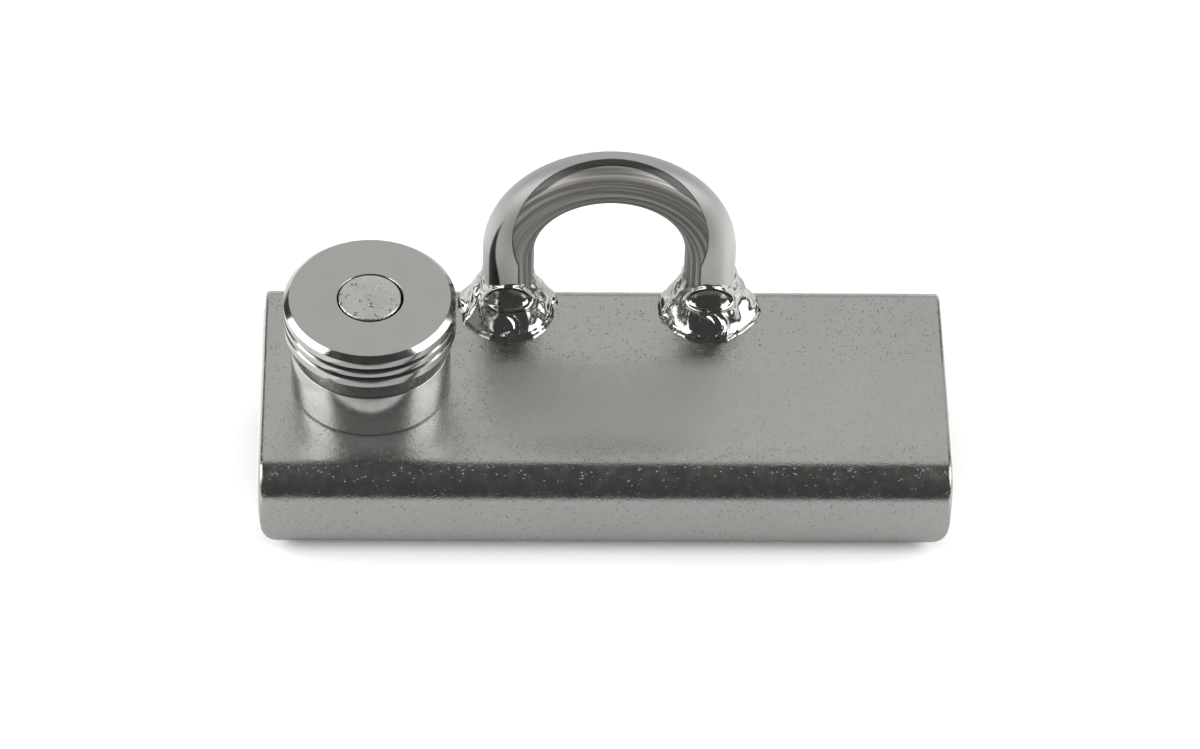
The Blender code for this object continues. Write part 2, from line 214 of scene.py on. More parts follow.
# Plate zones, in millimetres from the origin: before the eye, and round the plunger's axis. Before the
# eye the plate is made duller and painted darker, a painted reflection: an even grey in place of the
# bow's reflection
REFLECTION_ZONE_LEFT = (-15.0, -8.0)
REFLECTION_ZONE_FRONT = (-12.0, -6.0)
REFLECTION_ZONE_REAR = (0.5, 4.0)
REFLECTION_ZONE_ROUGHNESS = 0.12
REFLECTION_ZONE_METALLIC = -0.45
HALO_REACH = (9.0, 13.5)
HALO_METALLIC = -0.16

# The bar's inner side and its two painted dark reflections, an arc and a stripe up the left leg: angles
# round it from its outer side to the front, lengths along it in mm
INNER_ANGLE = 1.97
INNER_TURN = 1.2
INNER_TURN_GAIN = 0.75
INNER_BLUR = 0.03
REAR_BLUR = 0.2
ARC_REFLECTION_GROWTH = (1.1, 1.6)
ARC_REFLECTION_WIDTHS = (0.035, 0.34)
ARC_REFLECTION_BLUR = 0.04
LEG_REFLECTION_ANGLE = 0.72
LEG_REFLECTION_START = (0.68, 0.76)
LEG_REFLECTION_TAPER = (4.0, 16.0)
LEG_REFLECTION_WIDTHS = (0.56, 0.0)
LEG_REFLECTION_BLUR = 0.05
LEG_REFLECTION_FADE = (12.0, 15.5)

# Colours, linear. Each pair is the darker and the lighter end of a noise; PLAIN is one flat colour
PLATE_PLAIN = (0.42, 0.416, 0.402)
PLATE_COLORS = ((0.40, 0.396, 0.382), (0.44, 0.437, 0.424))
# Painted reflection: darker plate colours before the eye, an even grey in place of the bow's reflection
PLATE_PAINTED_REFLECTION_COLORS = ((0.30, 0.297, 0.287), (0.33, 0.328, 0.318))
PLATE_PIT_COLORS = ((0.22, 0.217, 0.208), (0.26, 0.257, 0.247))
BAR_PLAIN = (0.43, 0.426, 0.413)
# The bar's inner side: brownish draw lines, painted darker as shade, darkest where it faces into the eye
BAR_INNER_COLORS = ((0.19, 0.181, 0.163), (0.4, 0.39, 0.367))
BAR_INNER_SHADE_COLORS = ((0.09, 0.086, 0.078), (0.3, 0.291, 0.27))
# Painted shade and light: the bar's top painted darker and its legs paler
BAR_SHADED_TOP_COLORS = ((0.25, 0.247, 0.239), (0.31, 0.308, 0.299))
BAR_LIT_LEG_COLORS = ((0.46, 0.456, 0.442), (0.55, 0.546, 0.53))
# Painted reflections: the near-black arc and left-leg stripe on the bar
BAR_PAINTED_REFLECTION_COLORS = ((0.05,) * 3, (0.1,) * 3)
WELD_PLAIN = (0.46, 0.452, 0.435)
WELD_COLORS = ((0.44, 0.43, 0.41), (0.50, 0.497, 0.485))
KNOB_COLORS = ((0.40, 0.396, 0.383), (0.44, 0.437, 0.427))
COLLAR_COLORS = ((0.43, 0.424, 0.408), (0.47, 0.465, 0.45))
PIN_COLORS = ((0.48, 0.475, 0.462), (0.68, 0.675, 0.66))
TURNED_PIT_COLORS = ((0.2, 0.197, 0.19), (0.28, 0.276, 0.267))
SPRING_PLAIN = (0.36, 0.35, 0.33)
SPRING_COLORS = ((0.33, 0.32, 0.30), (0.42, 0.41, 0.39))
LINER_PLAIN = (0.72, 0.71, 0.67)
LINER_COLORS = ((0.66, 0.65, 0.61), (0.76, 0.752, 0.715))
FLOOR_GREYS = (0.90, 0.915)
GREY_CARD_GREYS = (0.56, 0.59)
BLACK_CARD_GREYS = (0.045, 0.055)
ROOM_COLOR = (1.0, 1.0, 1.0, 1.0)
BACK_COLOR = (1.0, 0.992, 0.965, 1.0)


# --- materials


class Finish:
    """A Principled material, with short calls for the nodes that feed it."""

    def __init__(self, name, color, roughness, metallic=1.0):
        self.material = bpy.data.materials.new(name)
        self.material.use_nodes = True
        self.tree = self.material.node_tree
        self.shader = self.tree.nodes["Principled BSDF"]
        self.shader.inputs["Base Color"].default_value = (*color, 1.0)
        self.shader.inputs["Roughness"].default_value = roughness
        self.shader.inputs["Metallic"].default_value = metallic
        self.material.diffuse_color = (*color, 1.0)

    def node(self, kind, **values):
        made = self.tree.nodes.new(kind)
        for key, value in values.items():
            setattr(made, key, value)
        return made

    def feed(self, socket, value):
        if isinstance(value, bpy.types.NodeSocket):
            self.tree.links.new(value, socket)
        else:
            socket.default_value = value

    def math(self, operation, *values, clamp=False):
        made = self.node("ShaderNodeMath", operation=operation, use_clamp=clamp)
        for socket, value in zip(made.inputs, values):
            self.feed(socket, value)
        return made.outputs[0]

    def place(self):
        """The piece's own coordinates, in millimetres."""
        coordinates = self.node("ShaderNodeTexCoord").outputs["Object"]
        return self.scaled(coordinates, (1 / MM, 1 / MM, 1 / MM))

    def attribute(self, attribute, output):
        return self.node("ShaderNodeAttribute", attribute_name=attribute).outputs[output]

    def scaled(self, vector, factors):
        made = self.node("ShaderNodeVectorMath", operation="MULTIPLY")
        self.feed(made.inputs[0], vector)
        made.inputs[1].default_value = factors
        return made.outputs[0]

    def split(self, vector):
        made = self.node("ShaderNodeSeparateXYZ")
        self.feed(made.inputs[0], vector)
        return made.outputs

    def noise(self, vector, scale, detail=2.0, distortion=0.0):
        made = self.node("ShaderNodeTexNoise")
        self.feed(made.inputs["Vector"], vector)
        made.inputs["Scale"].default_value = scale
        made.inputs["Detail"].default_value = detail
        made.inputs["Distortion"].default_value = distortion
        return made.outputs["Fac"]

    def cells(self, vector, scale):
        """Distance to the nearest of scattered points."""
        made = self.node("ShaderNodeTexVoronoi")
        self.feed(made.inputs["Vector"], vector)
        made.inputs["Scale"].default_value = scale
        return made.outputs["Distance"]

    def remap(self, value, low, high, to_low, to_high):
        made = self.node("ShaderNodeMapRange", interpolation_type="SMOOTHSTEP")
        self.feed(made.inputs["Value"], value)
        made.inputs["From Min"].default_value = low
        made.inputs["From Max"].default_value = high
        made.inputs["To Min"].default_value = to_low
        made.inputs["To Max"].default_value = to_high
        return made.outputs["Result"]

    def rises(self, value, blur):
        """0 below zero and 1 above it, with that much blur on each side."""
        return self.remap(value, -blur, blur, 0.0, 1.0)

    def falls(self, value, blur):
        return self.remap(value, -blur, blur, 1.0, 0.0)

    def blend(self, share, first, second):
        made = self.node("ShaderNodeMix", data_type="RGBA")
        self.feed(made.inputs[0], share)
        made.inputs[6].default_value = (*first, 1.0)
        made.inputs[7].default_value = (*second, 1.0)
        return made.outputs[2]

    def mixed(self, share, first, second):
        made = self.blend(share, (0.0, 0.0, 0.0), (0.0, 0.0, 0.0)).node
        self.feed(made.inputs[6], first)
        self.feed(made.inputs[7], second)
        return made.outputs[2]

    def bump(self, height, depth, under=None):
        made = self.node("ShaderNodeBump")
        self.feed(made.inputs["Height"], height)
        made.inputs["Distance"].default_value = depth
        if under:
            self.feed(made.inputs["Normal"], under)
        return made.outputs["Normal"]

    def finish(self, color, roughness, normal, metallic=None):
        self.feed(self.shader.inputs["Base Color"], color)
        self.feed(self.shader.inputs["Roughness"], roughness)
        self.feed(self.shader.inputs["Normal"], normal)
        if metallic:
            self.feed(self.shader.inputs["Metallic"], metallic)
        return self.material


def pits(made, place, scale, size):
    """1 in scattered pits of that size, as a share of their spacing, and 0 elsewhere."""
    spread = made.remap(made.noise(place, scale * 0.7, 1.0), 0.42, 0.66, 0.0, 1.0)
    found = made.remap(made.cells(place, scale), size * 0.3, size, 1.0, 0.0)
    return made.math("MULTIPLY", found, spread)


def axis_distance(made, x, y):
    """Distance from the plunger's axis, in millimetres."""
    across = made.math("SUBTRACT", x, AXIS_X / MM)
    squared = made.math("MULTIPLY_ADD", across, across, made.math("MULTIPLY", y, y))
    return made.math("SQRT", squared)


def plate_zones(made, place):
    """1 in the duller zone before the eye, where an even grey is painted in place of the bow's
    reflection, and 1 in the ring round the collar.
    """
    x, y, _ = made.split(place)
    right = made.remap(x, *REFLECTION_ZONE_LEFT, 0.0, 1.0)
    painted_reflection_zone = made.math("MULTIPLY", right, made.remap(y, *REFLECTION_ZONE_FRONT, 0.0, 1.0))
    painted_reflection_zone = made.math("MULTIPLY", painted_reflection_zone, made.remap(y, *REFLECTION_ZONE_REAR, 1.0, 0.0))
    halo = made.remap(axis_distance(made, x, y), *HALO_REACH, 1.0, 0.0)
    return painted_reflection_zone, halo


def plate_steel():
    """Tumbled sheet: a fine grain, a little orange peel, and scattered dark pits.
    It is duller and painted darker before the eye, a painted reflection: an even grey in place of the
    bow's reflection. It is slightly less metallic round the collar."""
    made = Finish("plate_steel", PLATE_PLAIN, 0.25)
    place = made.place()
    painted_reflection_zone, halo = plate_zones(made, place)
    cloud = made.noise(place, 0.12, 3.0)
    # Painted reflection: the plate is painted darker before the eye, in place of the bow's reflection
    color = made.mixed(painted_reflection_zone, made.blend(cloud, *PLATE_COLORS), made.blend(cloud, *PLATE_PAINTED_REFLECTION_COLORS))
    roughness = made.remap(made.noise(place, 0.9, 4.0), 0.3, 0.7, 0.2, 0.28)
    roughness = made.math("MULTIPLY_ADD", painted_reflection_zone, REFLECTION_ZONE_ROUGHNESS, roughness)
    grain = made.bump(made.noise(place, 5.0, 3.0), depth=2.4e-5)
    peel = made.bump(made.noise(place, 2.2, 2.0), depth=1.6e-5, under=grain)
    large = pits(made, place, scale=1.3, size=0.15)
    pitted = made.math("ADD", pits(made, place, scale=2.9, size=0.3), large)
    normal = made.bump(made.math("MULTIPLY", pitted, -1.0), depth=3.0e-5, under=peel)
    color = made.mixed(pitted, color, made.blend(cloud, *PLATE_PIT_COLORS))
    metallic = made.math("MULTIPLY_ADD", painted_reflection_zone, REFLECTION_ZONE_METALLIC, 1.0)
    metallic = made.math("MULTIPLY_ADD", halo, HALO_METALLIC, metallic)
    return made.finish(color, roughness, normal, metallic)


def bar_inside_and_reflections(made, round_bar, bend, length):
    """1 on the bar's inner and rear side, and 1 in its two painted dark reflections."""
    turn = made.math("MULTIPLY", bend, made.math("MULTIPLY_ADD", bend, INNER_TURN_GAIN, INNER_TURN))
    past = made.math("ADD", made.math("SUBTRACT", turn, INNER_ANGLE), round_bar)
    behind = made.math("MULTIPLY_ADD", round_bar, -1.0, -INNER_ANGLE)
    begun = made.rises(past, INNER_BLUR)
    inside = made.math("MAXIMUM", begun, made.rises(behind, REAR_BLUR))
    # Painted dark reflection: an arc along the edge of the inner side, wider round the top
    width = made.remap(turn, *ARC_REFLECTION_GROWTH, *ARC_REFLECTION_WIDTHS)
    painted_arc = made.math("MULTIPLY", begun, made.falls(made.math("SUBTRACT", past, width), ARC_REFLECTION_BLUR))
    # Painted dark reflection: a stripe up the front of the left leg, fading out along it
    painted_leg_stripe_width = made.remap(length, *LEG_REFLECTION_TAPER, *LEG_REFLECTION_WIDTHS)
    painted_leg_stripe_end = made.math("SUBTRACT", made.math("SUBTRACT", round_bar, LEG_REFLECTION_ANGLE), painted_leg_stripe_width)
    painted_leg_stripe = made.remap(round_bar, *LEG_REFLECTION_START, 0.0, 1.0)
    painted_leg_stripe = made.math("MULTIPLY", painted_leg_stripe, made.falls(painted_leg_stripe_end, LEG_REFLECTION_BLUR))
    painted_leg_stripe = made.math("MULTIPLY", painted_leg_stripe, made.remap(length, *LEG_REFLECTION_FADE, 1.0, 0.0))
    return inside, made.math("MAXIMUM", painted_arc, painted_leg_stripe)


def bar_color(made, round_bar, bend, inside, lines, speckle):
    """Legs painted paler and the top painted darker, painted light and shade that even out how light
    falls on the outer side. The inner side has brownish draw-line streaks, painted darker as shade,
    darkest where it faces into the eye.
    """
    streaks = made.remap(lines, 0.38, 0.62, 0.0, 1.0)
    # Painted shade: darker towards the side that faces into the eye
    inner_shade = made.remap(made.math("ABSOLUTE", round_bar), 1.9, 2.9, 0.0, 1.0)
    inner = made.mixed(
        inner_shade, made.blend(streaks, *BAR_INNER_COLORS), made.blend(streaks, *BAR_INNER_SHADE_COLORS)
    )
    # Painted shade and light: the top darker and the legs paler
    shaded_top = made.remap(bend, 0.05, 0.6, 0.0, 1.0)
    outer_light_and_shade = made.mixed(
        shaded_top, made.blend(speckle, *BAR_LIT_LEG_COLORS), made.blend(speckle, *BAR_SHADED_TOP_COLORS)
    )
    return made.mixed(inside, outer_light_and_shade, inner)


def bar_steel():
    """Drawn bar: pale and part-metallic on its outer side, its top painted darker and its legs paler,
    painted shade and light; brownish with coarse draw lines inside the bend, painted darker there as
    shade.
    A painted dark reflection runs between the two, and another up the front of the left leg."""
    made = Finish("bar_steel", BAR_PLAIN, 0.4)
    along = made.attribute("bar_place", "Vector")
    out, side, length = made.split(along)
    bend = made.attribute("bar_bend", "Fac")
    round_bar = made.math("ARCTAN2", made.math("MULTIPLY", side, -1.0), out)
    inside, painted_reflections = bar_inside_and_reflections(made, round_bar, bend, length)
    broad = made.noise(made.scaled(along, (1.0, 1.0, 0.04)), 0.9, 2.0)
    lines = made.noise(made.scaled(along, (1.0, 1.0, 0.02)), 2.4, 3.0)
    speckle = made.noise(along, 5.0, 3.0)
    color = bar_color(made, round_bar, bend, inside, lines, speckle)
    # Painted reflections: the arc and the leg stripe are near-black and fully metallic
    color = made.mixed(painted_reflections, color, made.blend(speckle, *BAR_PAINTED_REFLECTION_COLORS))
    metallic = made.math("MAXIMUM", made.math("MULTIPLY_ADD", inside, 0.3, 0.35), painted_reflections)
    roughness = made.remap(speckle, 0.3, 0.7, 0.38, 0.48)
    stretched = made.bump(made.math("MULTIPLY", broad, inside), depth=1.6e-4)
    drawn = made.bump(made.math("MULTIPLY", lines, inside), depth=1.2e-4, under=stretched)
    return made.finish(color, roughness, made.bump(speckle, 8.0e-6, drawn), metallic)


def weld_steel():
    """Bright weld metal, with soft flow marks."""
    made = Finish("weld_steel", WELD_PLAIN, 0.09)
    place = made.place()
    color = made.blend(made.noise(place, 0.7, 3.0), *WELD_COLORS)
    roughness = made.remap(made.noise(place, 1.6, 3.0), 0.35, 0.7, 0.05, 0.16)
    flow = made.bump(made.noise(place, 2.6, 3.0, 0.6), 1.6e-5)
    return made.finish(color, roughness, made.bump(made.noise(place, 9.0, 2.0), 2.0e-6, flow))


def turned_steel(name, mean_roughness, dark, light, pit_size, grain, pit_depth, metallic=1.0):
    """Turned faces: faint rings that follow the radius on a face and the height on a side."""
    made = Finish(name, light, mean_roughness, metallic)
    place = made.place()
    x, y, z = made.split(place)
    rings = made.node("ShaderNodeCombineXYZ")
    made.feed(rings.inputs[0], axis_distance(made, x, y))
    made.feed(rings.inputs[2], z)
    tool = made.noise(rings.outputs[0], 7.0, 3.0)
    smudge = made.noise(place, 0.35, 3.0)
    patchy = made.noise(place, 0.8, 4.0)
    roughness = made.remap(patchy, 0.3, 0.7, mean_roughness * 0.75, mean_roughness * 1.3)
    cut_marks = made.bump(made.noise(place, 6.0, 2.0), grain, made.bump(tool, 1.1e-6))
    found = pits(made, place, 1.3, pit_size)
    color = made.mixed(found, made.blend(smudge, dark, light), made.blend(smudge, *TURNED_PIT_COLORS))
    nicked = made.bump(made.math("MULTIPLY", found, -1.0), pit_depth, cut_marks)
    return made.finish(color, roughness, nicked)


def spring_steel():
    """Dull drawn wire."""
    made = Finish("spring_steel", SPRING_PLAIN, 0.28)
    place = made.place()
    color = made.blend(made.noise(place, 0.8, 3.0), *SPRING_COLORS)
    roughness = made.remap(made.noise(place, 3.0, 3.0), 0.3, 0.7, 0.2, 0.36)
    return made.finish(color, roughness, made.bump(made.noise(place, 12.0, 2.0), 3.0e-6))


def liner_plastic():
    """Off-white acetal, with rub lines along the track."""
    made = Finish("liner_plastic", LINER_PLAIN, 0.42, metallic=0.0)
    place = made.place()
    rubbed = made.noise(made.scaled(place, (0.03, 1.0, 1.0)), 3.0, 4.0)
    color = made.blend(rubbed, *LINER_COLORS)
    roughness = made.remap(rubbed, 0.3, 0.7, 0.34, 0.52)
    skin = made.bump(made.noise(place, 5.0, 3.0), 5.0e-6)
    return made.finish(color, roughness, made.bump(rubbed, 8.0e-6, skin))


def paper(name, low, high):
    made = Finish(name, (high,) * 3, 0.9, metallic=0.0)
    place = made.place()
    color = made.blend(made.noise(place, 0.05, 3.0), (low,) * 3, (high,) * 3)
    made.shader.inputs["Specular IOR Level"].default_value = 0.0
    return made.finish(color, 0.9, made.bump(made.noise(place, 2.0, 2.0), 1.0e-5))


# --- meshes


def grid_faces(rows, columns, wrap_rows=False, wrap_columns=False):
    faces = []
    for i in range(rows if wrap_rows else rows - 1):
        for j in range(columns if wrap_columns else columns - 1):
            here = i * columns
            there = (i + 1) % rows * columns
            after = (j + 1) % columns
            faces.append((here + j, here + after, there + after, there + j))
    return faces


def solid(name, points, faces, sharp_deg=SHARP_DEG):
    """A mesh whose faces point out, shaded smooth up to that angle."""
    mesh = bpy.data.meshes.new(name)
    mesh.from_pydata([tuple(p) for p in points], [], faces)
    bm = bmesh.new()
    bm.from_mesh(mesh)
    bmesh.ops.recalc_face_normals(bm, faces=bm.faces)
    bm.to_mesh(mesh)
    bm.free()
    mesh.shade_smooth()
    mesh.set_sharp_from_angle(angle=math.radians(sharp_deg))
    return mesh


def new_object(name, data):
    """An object with that data, in the scene."""
    made = bpy.data.objects.new(name, data)
    bpy.context.scene.collection.objects.link(made)
    return made


def add_piece(name, mesh, material, body, slot, *nodes):
    mesh.materials.clear()
    mesh.materials.append(material)
    piece = new_object(name, mesh)
    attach(piece, body)
    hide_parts(*nodes)
    return piece


def filleted(corners, segments=4):
    """A closed outline of (a, b, radius) corners, each turned to an arc of its radius."""
    points = []
    count = len(corners)
    for i, (a, b, radius) in enumerate(corners):
        here = np.array((a, b))
        back = np.array(corners[i - 1][:2]) - here
        ahead = np.array(corners[(i + 1) % count][:2]) - here
        if radius <= 0:
            points.append(here)
            continue
        reach_back = np.linalg.norm(back)
        reach_ahead = np.linalg.norm(ahead)
        back = back / reach_back
        ahead = ahead / reach_ahead
        half = math.acos(np.clip(back @ ahead, -1, 1)) / 2
        step = min(radius / math.tan(half), 0.49 * reach_back, 0.49 * reach_ahead)
        radius = step * math.tan(half)
        middle = (back + ahead) / np.linalg.norm(back + ahead)
        centre = here + middle * radius / math.sin(half)
        start = here + back * step - centre
        first = math.atan2(start[1], start[0])
        end = here + ahead * step - centre
        turn = (math.atan2(end[1], end[0]) - first + math.pi) % (2 * math.pi) - math.pi
        for k in range(segments + 1):
            angle = first + turn * k / segments
            points.append(centre + radius * np.array((math.cos(angle), math.sin(angle))))
    return np.array(points)


def ring_mesh(name, corners, steps=TURNED_STEPS, shape=None):
    """A closed (radius, z) outline turned about the plunger's axis."""
    outline = filleted(corners)
    points = []
    for i in range(steps):
        angle = 2 * math.pi * i / steps
        for radius, z in outline:
            if shape:
                radius, z = shape(radius, z, angle)
            points.append((AXIS_X + radius * math.cos(angle), radius * math.sin(angle), z))
    return solid(name, points, grid_faces(steps, len(outline), True, True))


def cut(mesh, radius, low, high):
    """The mesh with a round hole through it, on the plunger's axis."""
    bm = bmesh.new()
    bmesh.ops.create_cone(
        bm, cap_ends=True, segments=128, radius1=radius, radius2=radius, depth=high - low
    )
    bmesh.ops.translate(bm, vec=(AXIS_X, 0.0, (low + high) / 2), verts=bm.verts)
    drill_mesh = bpy.data.meshes.new("drill")
    bm.to_mesh(drill_mesh)
    bm.free()
    drill = new_object("drill", drill_mesh)
    blank = new_object("blank", mesh)
    hole = blank.modifiers.new("hole", "BOOLEAN")
    hole.object = drill
    bpy.context.view_layer.update()
    result = bpy.data.meshes.new_from_object(blank.evaluated_get(bpy.context.evaluated_depsgraph_get()))
    for obj in (drill, blank):
        bpy.data.objects.remove(obj, do_unlink=True)
    result.name = mesh.name
    result.shade_smooth()
    result.set_sharp_from_angle(angle=math.radians(SHARP_DEG))
    return result


# --- body and liner


def side_points(width, top, bottom, radius, half_mouth, lip_round, sign):
    """Points (y, z, ny, nz) along one side of a C section, from the rear lip to the front lip.
    sign is 1 for the outer side and -1 for the inner side."""
    points = []

    def straight(start, end, normal, count):
        for k in range(count):
            share = k / count
            y = start[0] + (end[0] - start[0]) * share
            z = start[1] + (end[1] - start[1]) * share
            points.append((y, z, normal[0] * sign, normal[1] * sign))

    def corner(y, z, first_deg, count=10):
        for k in range(count):
            angle = math.radians(first_deg + 90 * k / count)
            cos, sin = math.cos(angle), math.sin(angle)
            points.append((y + radius * cos, z + radius * sin, cos * sign, sin * sign))

    y_bend = width - radius
    lip_y = half_mouth + lip_round
    straight((lip_y, bottom), (y_bend, bottom), (0, -1), 4)
    corner(y_bend, bottom + radius, -90)
    straight((width, bottom + radius), (width, top - radius), (1, 0), 4)
    corner(y_bend, top - radius, 0)
    straight((y_bend, top), (-y_bend, top), (0, 1), 12)
    corner(-y_bend, top - radius, 90)
    straight((-width, top - radius), (-width, bottom + radius), (-1, 0), 4)
    corner(-y_bend, bottom + radius, 180)
    straight((-y_bend, bottom), (-lip_y, bottom), (0, -1), 4)
    points.append((-lip_y, bottom, 0.0, -1.0 * sign))
    return np.array(points)


def lip_points(half_mouth, outer_z, inner_z, lip_round, side):
    """The rounded lip's rows, outwards to its tip: outer and inner (y, z, ny, nz)."""
    outer, inner = [], []
    y = side * (half_mouth + lip_round)
    for k in range(1, 6):
        angle = math.radians(90 * k / 5)
        sin, cos = math.sin(angle), math.cos(angle)
        tip_y = y - side * lip_round * sin
        outer.append((tip_y, outer_z + lip_round * (1 - cos), -side * sin, -cos))
        inner.append((tip_y, inner_z - lip_round * (1 - cos), -side * sin, cos))
    return np.array(outer), np.array(inner)


def channel_rows(outer_box, outer_radius, inner_box, inner_radius, half_mouth, lip_round):
    """Outer and inner points of the section, row by row from the rear tip to the front tip."""
    outer = side_points(*outer_box, outer_radius, half_mouth, lip_round, 1)
    inner = side_points(*inner_box, inner_radius, half_mouth, lip_round, -1)
    rear = lip_points(half_mouth, outer_box[2], inner_box[2], lip_round, 1)
    front = lip_points(half_mouth, outer_box[2], inner_box[2], lip_round, -1)
    return (
        np.vstack((rear[0][::-1], outer, front[0])),
        np.vstack((rear[1][::-1], inner, front[1])),
    )


def section_loop(outer, inner):
    """The section's outline as one closed loop of (y, z, ny, nz)."""
    shares = np.linspace(0, 1, THROUGH_WALL_STEPS + 1)[1:-1, None]
    front = outer[-1] + (inner[-1] - outer[-1]) * shares
    rear = inner[0] + (outer[0] - inner[0]) * shares
    return np.vstack((outer, front, inner[::-1], rear))


def end_x(z, half_length, corner_z, corner_radius):
    """Where the channel ends at height z: its lower end corners are round."""
    below = np.clip(corner_z - z, 0, corner_radius)
    return half_length - corner_radius + np.sqrt(corner_radius**2 - below**2)


def channel_mesh(name, rows, half_length, corner_z, corner_radius, end_round, end_steps=6):
    """A C section swept along X, with rounded end edges and rounded lower end corners."""
    outer, inner = rows
    loop = section_loop(outer, inner)
    tilt = np.clip((corner_z - loop[:, 1]) / corner_radius, 0, 1)
    rounding = end_round * (1 - np.clip(-tilt * loop[:, 3], 0, 1))
    stations = []
    for k in range(end_steps + 1):
        angle = math.radians(90 * k / end_steps)
        inset = rounding * (1 - math.cos(angle))
        y = loop[:, 0] - loop[:, 2] * inset
        z = loop[:, 1] - loop[:, 3] * inset
        x = end_x(z, half_length, corner_z, corner_radius) - rounding * (1 - math.sin(angle))
        stations.append(np.column_stack((x, y, z)))
    right = stations[::-1]
    left = [station * (-1, 1, 1) for station in stations]
    middle = [right[-1] + (left[0] - right[-1]) * k / 8 for k in range(1, 8)]
    rings = right + middle + left
    count = len(loop)
    points = list(np.vstack(rings))
    faces = grid_faces(len(rings), count, wrap_columns=True)
    shape = (half_length, corner_z, corner_radius)
    close_end(points, faces, 0, len(outer), count, 1, shape)
    close_end(points, faces, (len(rings) - 1) * count, len(outer), count, -1, shape)
    return solid(name, points, faces)


def close_end(points, faces, ring, rows, count, side, shape):
    """Fills the end face between the outer and the inner rows of a ring of points."""
    steps = THROUGH_WALL_STEPS
    table = np.zeros((rows, steps + 1), int)
    for i in range(rows):
        table[i, 0] = ring + i
        table[i, steps] = ring + rows + (steps - 1) + (rows - 1 - i)
    for k in range(1, steps):
        table[rows - 1, k] = ring + rows + k - 1
        table[0, k] = ring + count - k
    for i in range(1, rows - 1):
        first, last = points[table[i, 0]], points[table[i, steps]]
        for k in range(1, steps):
            inside = first + (last - first) * k / steps
            inside[0] = side * end_x(inside[2], *shape)
            table[i, k] = len(points)
            points.append(inside)
    for i in range(rows - 1):
        for k in range(steps):
            faces.append((table[i, k], table[i + 1, k], table[i + 1, k + 1], table[i, k + 1]))


def make_body(steel):
    width, top, bottom = BODY_HIGH.y, BODY_HIGH.z, BODY_LOW.z
    rows = channel_rows(
        (width, top, bottom),
        BEND_RADIUS,
        (width - WALL, top - WALL, bottom + WALL),
        INNER_BEND_RADIUS,
        HALF_MOUTH,
        LIP_ROUND,
    )
    corner_z = bottom + LIP_CORNER_RADIUS
    mesh = channel_mesh("folded_body", rows, BODY_HIGH.x, corner_z, LIP_CORNER_RADIUS, END_ROUND)
    mesh = cut(mesh, SPIGOT_RADIUS + RUNNING_GAP, top - 1.5 * WALL, top + WALL)
    add_piece("folded_body", mesh, steel, "slider", "plate_steel", "slider_body")


def make_liner(plastic):
    width, top, bottom = LINER_HIGH.y, LINER_HIGH.z, LINER_LOW.z
    rows = channel_rows(
        (width, top, bottom),
        LINER_CORNER,
        (FLANGE_SLOT_HALF, 0.0, -FLANGE_SLOT_DEPTH),
        LINER_SLOT_CORNER,
        LINER_HALF_MOUTH,
        LINER_LIP_ROUND,
    )
    proud = LINER_HIGH.x - BODY_HIGH.x
    corner_z = BODY_LOW.z + LIP_CORNER_RADIUS
    corner_radius = LIP_CORNER_RADIUS + proud
    mesh = channel_mesh("slide_liner", rows, LINER_HIGH.x, corner_z, corner_radius, LINER_END_ROUND)
    mesh = cut(mesh, SPIGOT_RADIUS + LINER_HOLE_MARGIN, -FLANGE_SLOT_DEPTH / 2, top + WALL)
    add_piece("slide_liner", mesh, plastic, "slider", "liner_plastic", "track_liner")


# --- eye


def bow_route(leg_steps=10, bend_steps=120):
    """Centre points and outward directions along the bow, from the left foot to the right foot."""
    route = []
    base = BOW_LOW.z
    for k in range(leg_steps):
        z = base + (EYE_BEND_Z - base) * k / leg_steps
        route.append((EYE_X - EYE_BEND_RADIUS, z, -1.0, 0.0))
    for k in range(bend_steps + 1):
        angle = math.pi * (1 - k / bend_steps)
        cos, sin = math.cos(angle), math.sin(angle)
        route.append((EYE_X + EYE_BEND_RADIUS * cos, EYE_BEND_Z + EYE_BEND_RADIUS * sin, cos, sin))
    for k in range(1, leg_steps + 1):
        z = EYE_BEND_Z + (base - EYE_BEND_Z) * k / leg_steps
        route.append((EYE_X + EYE_BEND_RADIUS, z, 1.0, 0.0))
    return np.array(route)


def make_bow(steel, around=96):
    route = bow_route()
    steps = np.linalg.norm(np.diff(route[:, :2], axis=0), axis=1)
    run = np.concatenate(([0.0], np.cumsum(steps)))
    points, straightened, bends = [], [], []
    for (x, z, out_x, out_z), length in zip(route, run):
        for k in range(around):
            angle = 2 * math.pi * k / around
            out, side = BAR_RADIUS * math.cos(angle), BAR_RADIUS * math.sin(angle)
            points.append((x + out * out_x, EYE_Y + side, z + out * out_z))
            straightened.append((out / MM, side / MM, length / MM))
            bends.append(out_z)
    faces = grid_faces(len(route), around, wrap_columns=True)
    last = len(points) - around
    faces.append(tuple(range(around)))
    faces.append(tuple(range(last, last + around)))
    mesh = solid("eye_bar", points, faces)
    attribute = mesh.attributes.new("bar_place", "FLOAT_VECTOR", "POINT")
    attribute.data.foreach_set("vector", np.array(straightened, np.float32).ravel())
    attribute = mesh.attributes.new("bar_bend", "FLOAT", "POINT")
    attribute.data.foreach_set("value", np.array(bends, np.float32))
    add_piece("eye_bar", mesh, steel, "slider", "bar_steel", "eye_bow")


def plate_z(y):
    """Height of the body's top, which bends down at the rear edge."""
    over = np.clip(y - (BODY_HIGH.y - BEND_RADIUS), 0, BEND_RADIUS * 0.99)
    return PLATE_TOP - BEND_RADIUS + np.sqrt(BEND_RADIUS**2 - over**2)


def waves(angle, seed, orders):
    """A smooth closed wave round the leg, made of a few orders, between about -1 and 1."""
    total = 0.0
    for k, order in enumerate(orders):
        total = total + np.sin(order * angle + seed * (k + 1.7) * GOLDEN_ANGLE) / len(orders)
    return total


